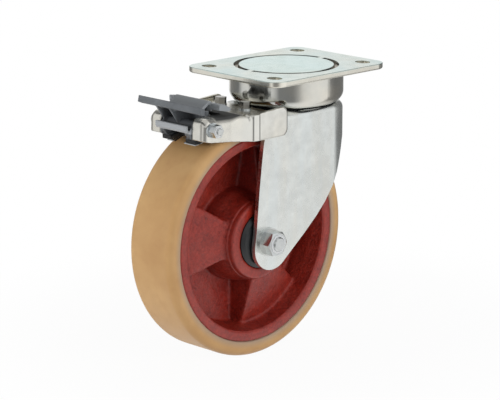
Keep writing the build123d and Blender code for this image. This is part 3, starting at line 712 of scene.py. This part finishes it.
# %% The turning tree
turned, given = new_tree(
    "turned_piece", Profile="Geometry", Points="Int", Segments="Int", Centre="Vector",
    Finish="Material")
new, link = turned.nodes.new, turned.links.new
grid = new("GeometryNodeMeshGrid")
span = calc(turned, "SUBTRACT", given["Points"], 1.0)
link(span, grid.inputs["Size X"])
grid.inputs["Size Y"].default_value = 1.0
link(given["Points"], grid.inputs["Vertices X"])
link(calc(turned, "ADD", given["Segments"], 1.0), grid.inputs["Vertices Y"])
where = new("ShaderNodeSeparateXYZ")
link(new("GeometryNodeInputPosition").outputs[0], where.inputs[0])
half_span = calc(turned, "MULTIPLY", span, 0.5)
column = calc(turned, "ROUND", calc(turned, "ADD", where.outputs["X"], half_span))
look = new("GeometryNodeSampleIndex")
look.data_type = "FLOAT_VECTOR"
link(given["Profile"], look.inputs["Geometry"])
link(new("GeometryNodeInputPosition").outputs[0], look.inputs["Value"])
link(column, look.inputs["Index"])
found = new("ShaderNodeSeparateXYZ")
link(look.outputs[0], found.inputs[0])
print("tree nodes so far:", len(turned.nodes))

# %% Bending the grid round the axle
turn = calc(turned, "MULTIPLY", calc(turned, "ADD", where.outputs["Y"], 0.5), math.tau)
bent = new("ShaderNodeCombineXYZ")
link(found.outputs["X"], bent.inputs["X"])
for axis, wave in (("Y", "COSINE"), ("Z", "SINE")):
    reached = calc(turned, "MULTIPLY", found.outputs["Y"], calc(turned, wave, turn))
    link(reached, bent.inputs[axis])
moved = new("ShaderNodeVectorMath")
link(bent.outputs[0], moved.inputs[0])
link(given["Centre"], moved.inputs[1])
place = new("GeometryNodeSetPosition")
link(grid.outputs["Mesh"], place.inputs["Geometry"])
link(moved.outputs[0], place.inputs["Position"])
close = new("GeometryNodeMergeByDistance")
close.inputs["Distance"].default_value = 1e-6
link(place.outputs[0], close.inputs["Geometry"])
end_tree(turned, close.outputs[0], given["Finish"])

# %% [markdown]
# ## Tread
# The band is cast round the rim: a flat running face with rounded shoulders, side
# walls that draw in a little towards the rim, and a small fillet where the material
# crept over the turned face of the iron. It stands for the plain solid of the tread.

# %% Tread
TREAD_RADIUS = 0.1
TREAD_HALF = 0.025
SHOULDER = 0.006
WALL_TOP = 0.0925


def arc(centre, radius, first, last, steps):
    """Points of an arc in the profile, angles in degrees from the axle's direction."""
    angles = [math.radians(first + (last - first) * k / steps) for k in range(steps + 1)]
    return [(centre[0] + radius * math.cos(a), centre[1] + radius * math.sin(a)) for a in angles]


half = [(TREAD_HALF - 0.0010, BOND_RADIUS), (TREAD_HALF - 0.0004, BOND_RADIUS + 0.0004)]
half += [(TREAD_HALF, BOND_RADIUS + 0.0012), (TREAD_HALF, WALL_TOP)]
half += arc((TREAD_HALF - SHOULDER, TREAD_RADIUS - SHOULDER), SHOULDER, 4, 90, 12)
half += [(TREAD_HALF - SHOULDER - 0.003 * k, TREAD_RADIUS) for k in range(1, 7)]
profile = half + [(-x, r) for x, r in reversed(half)]
profile += [profile[0]]
tread_band = grown(
    "tread_band", points_mesh("tread_profile", [(x, r, 0) for x, r in profile]), turned,
    points=len(profile), segments=288, centre=AXLE, finish=finishes["tread_urethane"],
)
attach(tread_band, "wheel")
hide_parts("tread")
print("profile points:", len(profile))

# %% [markdown]
# ## Wheel casting
# Molten iron can't fill a sharp corner, so every inside corner of a casting is a
# fillet and every outside edge is soft. A voxel remesh turns the solid into an even
# skin, and smoothing that skin rounds all its corners at once, which is how the
# pattern maker's fillets look. The bracket, the pedal and the leaf get finer skins.


# %% Skinning and the wheel casting
def skinned(name, mesh, voxel, passes, body, slot, node):
    """A new even skin over closed shells, softened by smoothing, in place of a node."""
    start = new_object(name + "_start", mesh)
    skin = start.modifiers.new("skin", "REMESH")
    skin.mode = "VOXEL"
    skin.voxel_size = voxel
    soften = start.modifiers.new("soften", "SMOOTH")
    soften.factor = 0.5
    soften.iterations = passes
    live = start.evaluated_get(bpy.context.evaluated_depsgraph_get())
    made = bpy.data.meshes.new_from_object(live)
    made.name = name
    bpy.data.objects.remove(start)
    made.materials.clear()
    made.materials.append(finishes[slot])
    made.shade_smooth()
    piece = new_object(name, made)
    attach(piece, body)
    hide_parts(node)
    print(name, "triangles:", 2 * len(made.polygons))
    return piece


def merged_copy(node):
    """The node's loose triangles joined into one closed mesh."""
    mesh = nodes[node].data.copy()
    bm = bmesh.new()
    bm.from_mesh(mesh)
    bmesh.ops.remove_doubles(bm, verts=bm.verts, dist=1e-6)
    bm.to_mesh(mesh)
    bm.free()
    return mesh


skinned("wheel_casting", merged_copy("wheel_centre"), 1.22 * MM, 9,
        "wheel", "red_casting", "wheel_centre")

# %% [markdown]
# ## Brake bracket
# The bracket is drawn from sheet, so its bends are wide and its cut edges are rounded
# by the tool. A finer skin softens the edges. Then its points are moved: the corners of
# the drawn box get a wider bend, and the arms step outwards to the fork in one long
# easy curve.

# %% Bracket skin
bracket_shell = skinned("bracket_shell", merged_copy("brake_bracket"), 0.65 * MM, 4,
                        "fork", "zinc_bracket", "brake_bracket")
HALF_WIDTH, FRONT = 33.5 * MM, -125.8 * MM
TOP_AT_FRONT, TOP_FALL = -25 * MM, 0.045
OLD_BEND, NEW_BEND, BOX_END = 3.6 * MM, 6.5 * MM, -80 * MM
STEP, ARM_END = 6.5 * MM, -69 * MM
# each pair is a stretch: where it starts, and how long it is
ARM_EDGE, OLD_STEP, NEW_STEP = (24 * MM, 6 * MM), (-76.4 * MM, 6 * MM), (-97 * MM, 28 * MM)


def wider_bend(a, b):
    """Moves a point, given by its depths below two faces, from the old bend to the new."""
    u, v = NEW_BEND - a, NEW_BEND - b
    reach = math.hypot(u, v)
    if u <= 0 or v <= 0 or reach < 1e-9:
        return a, b
    c, s = u / reach, v / reach
    shift = NEW_BEND - OLD_BEND
    edge = NEW_BEND / max(c, s)
    if min(edge * c, edge * s) > shift:
        along = shift * (c + s)
        edge = along + math.sqrt(max(OLD_BEND ** 2 - 2 * shift ** 2 + along ** 2, 0))
    new_reach = reach * NEW_BEND / edge
    return NEW_BEND - new_reach * c, NEW_BEND - new_reach * s


def come_along(value, stretch):
    """How far a value has come along a stretch (start, length), from 0 to 1."""
    start, length = stretch
    return min(max((value - start) / length, 0), 1)


print("bend in mm:", OLD_BEND / MM, "to", NEW_BEND / MM)

# %% Bracket bends and the step of the arms
for point in bracket_shell.data.vertices:
    side = math.copysign(1, point.co.x)
    x, y, z = abs(point.co.x), point.co.y, point.co.z
    top = TOP_AT_FRONT - TOP_FALL * (y - FRONT)
    if y < BOX_END:
        wide, deep = wider_bend(HALF_WIDTH - x, top - z)
        x, z = HALF_WIDTH - wide, top - deep
        ahead, deep = wider_bend(y - FRONT, top - z)
        y, z = FRONT + ahead, top - deep
    run = come_along(y, NEW_STEP)
    easy = run * run * (3 - 2 * run)
    if y < ARM_END:
        x += come_along(x, ARM_EDGE) * STEP * (easy - come_along(y, OLD_STEP))
    point.co = (side * x, y, z)
print("arm step in mm:", STEP / MM)

# %% [markdown]
# ## Moulded pedal
# The pedal is an injection moulding: a skin of even thickness stiffened by ribs, open
# below. It is laid out here as plates, each a side profile given a width along the
# axle, and the skin welds them into one body with soft moulded edges.


# %% Plates
def plates(name, blocks):
    """Closed plates: side profiles (y, z) in mm, each from one x to another."""
    bm = bmesh.new()
    for first, last, outline in blocks:
        rings = [[bm.verts.new((x * MM, y * MM, z * MM)) for y, z in outline]
                 for x in (first, last)]
        bm.faces.new(rings[0])
        bm.faces.new(reversed(rings[1]))
        count = len(outline)
        for k in range(count):
            m = (k + 1) % count
            bm.faces.new((rings[0][m], rings[0][k], rings[1][k], rings[1][m]))
    bmesh.ops.recalc_face_normals(bm, faces=bm.faces)
    mesh = bpy.data.meshes.new(name)
    bm.to_mesh(mesh)
    bm.free()
    print(name, "plates:", len(blocks))
    return mesh


# %% Pedal
PIVOT_Y, PIVOT_Z, HUB_RADIUS = -118.0, -34.3, 4.6
turns = [math.tau * k / 24 for k in range(24)]
hub = [(PIVOT_Y + HUB_RADIUS * math.cos(a), PIVOT_Z + HUB_RADIUS * math.sin(a)) for a in turns]
foot_bar = [(-133.0, -13.2), (-134.2, -18.6), (-129.4, -20.6), (-128.6, -15.2)]
raised_tread = [
    (-129.0, -17.4), (-117.2, -20.2), (-107.4, -13.8), (-105.2, -14.2), (-103.7, -22.6),
    (-105.5, -22.6), (-106.8, -16.6), (-117, -22.6), (-129.0, -19.8)]
wing = [(-106.2, -15.7), (-100, -16.5), (-93.6, -20.0), (-93.8, -22.4), (-96.5, -22.6),
        (-106.2, -20.6)]
rib = [(-133.4, -17.8), (-121.6, -34.4), (-114, -38), (-108.5, -36), (-105.5, -23), (-117, -21.2)]
rear_wall = [(-110.5, -22.0), (-107.0, -22.0), (-107.5, -41.0), (-109.8, -41.4)]
cheek = [(-124.5, -31.5), (-127.6, -37.0), (-126.4, -43.0), (-122.5, -45.2), (-109.5, -41.6),
         (-105.2, -27.5), (-112, -26.5)]
cross_bar = [(-130.2, -32.0), (-130.2, -36.3), (-129.0, -38.0), (-127.9, -38.0), (-127.9, -32.0)]
foot = [(-128.4, -36.2), (-126.2, -40.2), (-122.8, -45.2), (-118.5, -44.2), (-116.5, -36)]
toe = [(-123.5, -44.0), (-120.5, -45.8), (-109.4, -42.4), (-110.4, -39.6)]
pedal_blocks = [
    (-37.5, 37.0, foot_bar), (-20.4, 19.0, raised_tread), (-30.0, 30.0, wing),
    (-18.4, -16.4, rib), (-2.8, -1.0, rib), (-18.4, 18.4, rear_wall),
    (-18.4, -16.4, cheek), (16.4, 18.4, cheek), (-18.4, 18.4, hub), (-20.6, 16.0, cross_bar),
    (-18.4, -13.9, foot), (10.2, 16.2, foot), (-18.4, -12.0, toe), (7.0, 18.4, toe),
]
skinned("pedal_moulding", plates("pedal_plates", pedal_blocks), 0.42 * MM, 2,
        "pedal", "pedal_plastic", "pedal")

# %% [markdown]
# ## Spring leaf
# The brake leaf is cut from spring strip. Its free end is split into two tongues, one
# under each foot of the pedal, and the friction lining sits on their underside. Plates
# and a fine skin make both.

# %% Leaf and lining
# side view in mm: root, bend and tip of the upper face
LEAF_TOP = ((-56.5, -32.2), (-71.0, -32.2), (-117.5, -49.2))
LEAF_UNDER = [(-71.2, -33.7), (-56.5, -33.7)]
TIP, SPLIT = -117.5, -104.5


def leaf_strip(end):
    """Side profile of the strip from the screws to a free end at y = end."""
    root, (bend_y, bend_z), (tip_y, tip_z) = LEAF_TOP
    fall = (tip_z - bend_z) / (tip_y - bend_y)
    end_z = bend_z + fall * (end - bend_y)
    return [root, LEAF_TOP[1], (end, end_z), (end - 0.5, end_z - 1.4), *LEAF_UNDER]


far_tongue, near_tongue = (-20.0, -12.5, leaf_strip(TIP)), (0.0, 14.0, leaf_strip(TIP))
strips = [far_tongue, (-12.6, 0.1, leaf_strip(SPLIT)), near_tongue]
# the near corner is cut off at a slant, in six small steps that the skin smooths
strips += [(14.0 + k, 15.1 + k, leaf_strip(TIP + 2.6 * (k + 0.5))) for k in range(6)]
skinned("spring_leaf", plates("leaf_plates", strips), 0.36 * MM, 1,
        "brake_leaf", "spring_steel", "brake_leaf")
tongue = [(-116.4, -49.99), (-98.4, -43.51), (-98.1, -44.4), (-116.1, -50.9)]
root = [(-103.8, -45.45), (-98.4, -43.51), (-98.1, -44.4), (-103.5, -46.36)]
linings = [(-13.0, -12.0, tongue), (-13.0, 13.0, root), (0.6, 13.0, tongue)]
skinned("lining_pads", plates("lining_plates", linings), 0.3 * MM, 1,
        "brake_leaf", "pad_rubber", "brake_lining")

# %% [markdown]
# ## Threads
# A thread is a ridge that winds round the bolt. A spiral curve carries a small four
# sided section, so one tree with a radius, a pitch and a number of turns makes the
# thread of the axle bolt and of the pedal pin.

# %% The thread tree
thread, given = new_tree(
    "bolt_thread", Start="Geometry", Radius="Float", Pitch="Float", Turns="Float",
    Ridge="Float", Centre="Vector", Finish="Material")
new, link = thread.nodes.new, thread.links.new
spiral = new("GeometryNodeCurveSpiral")
spiral.inputs["Resolution"].default_value = 40
link(given["Turns"], spiral.inputs["Rotations"])
link(given["Radius"], spiral.inputs["Start Radius"])
link(given["Radius"], spiral.inputs["End Radius"])
link(calc(thread, "MULTIPLY", given["Pitch"], given["Turns"]), spiral.inputs["Height"])
section = new("GeometryNodeCurvePrimitiveCircle")
section.inputs["Resolution"].default_value = 4
link(given["Ridge"], section.inputs["Radius"])
sweep = new("GeometryNodeCurveToMesh")
sweep.inputs["Fill Caps"].default_value = True
link(spiral.outputs[0], sweep.inputs["Curve"])
link(section.outputs[0], sweep.inputs["Profile Curve"])
lay = new("GeometryNodeTransform")
lay.inputs["Rotation"].default_value = (0, math.radians(90), 0)
link(sweep.outputs[0], lay.inputs["Geometry"])
link(given["Centre"], lay.inputs["Translation"])
end_tree(thread, lay.outputs[0], given["Finish"])


# %% Threads on the axle bolt and the pedal pin
def threaded_end(name, bolt, nut, radius, pitch, ridge):
    """Winds a thread on the end of a bolt that stands out of its nut."""
    bolt_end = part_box(bolt)[1].x
    nut_low, nut_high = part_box(nut)
    middle = (nut_low + nut_high) / 2
    start = nut_high.x - 0.5 * pitch
    turns = (bolt_end - BOLT_CHAMFER - start) / pitch
    piece = grown(
        name, points_mesh(name + "_point", [(0, 0, 0)]), thread, sharp=50,
        radius=radius, pitch=pitch, turns=turns, ridge=ridge,
        centre=Vector((start, middle.y, middle.z)), finish=finishes["zinc_bolt"],
    )
    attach(piece, "fork")
    print(name, "turns:", round(turns, 2))


BOLT_CHAMFER = 0.0009
threaded_end("axle_thread", "axle_bolt", "axle_nut", 0.006, 0.00175, 0.00034)
threaded_end("pedal_pin_thread", "pedal_bolt", "pedal_nut", 0.003, 0.001, 0.0002)

# %% [markdown]
# ## Locking collars
# Both nuts are of the locking kind: a nylon ring sits in their outer end and grips the
# thread. The ring is a turned piece like the tread, with five corners in its profile.


# %% Locking collars
def locking_collar(name, nut, bolt_radius, ring_radius):
    inside, sunk, proud, chamfer = bolt_radius + 0.0001, -0.0006, 0.00045, 0.0003
    ring = [
        (sunk, inside), (sunk, ring_radius), (0.00025, ring_radius),
        (proud, ring_radius - chamfer), (proud, inside), (sunk, inside),
    ]
    low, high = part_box(nut)
    centre = (low + high) / 2
    centre.x = high.x
    piece = grown(
        name, points_mesh(name + "_profile", [(x, r, 0) for x, r in ring]), turned,
        points=len(ring), segments=64, centre=centre, finish=finishes["nylon_collar"],
    )
    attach(piece, "fork")


locking_collar("axle_nut_collar", "axle_nut", 0.006, 0.0079)
locking_collar("pedal_nut_collar", "pedal_nut", 0.003, 0.0042)

# %% [markdown]
# ## Sizes
# The visible pieces must stay in the box of the solids. Both boxes are kept, so that
# they can be compared, and the growth is printed.

# %% Sizes and finish
low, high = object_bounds()
growth = (high - low) - (cad_high - cad_low)
print("grown by mm:", [round(v / MM, 2) for v in growth])
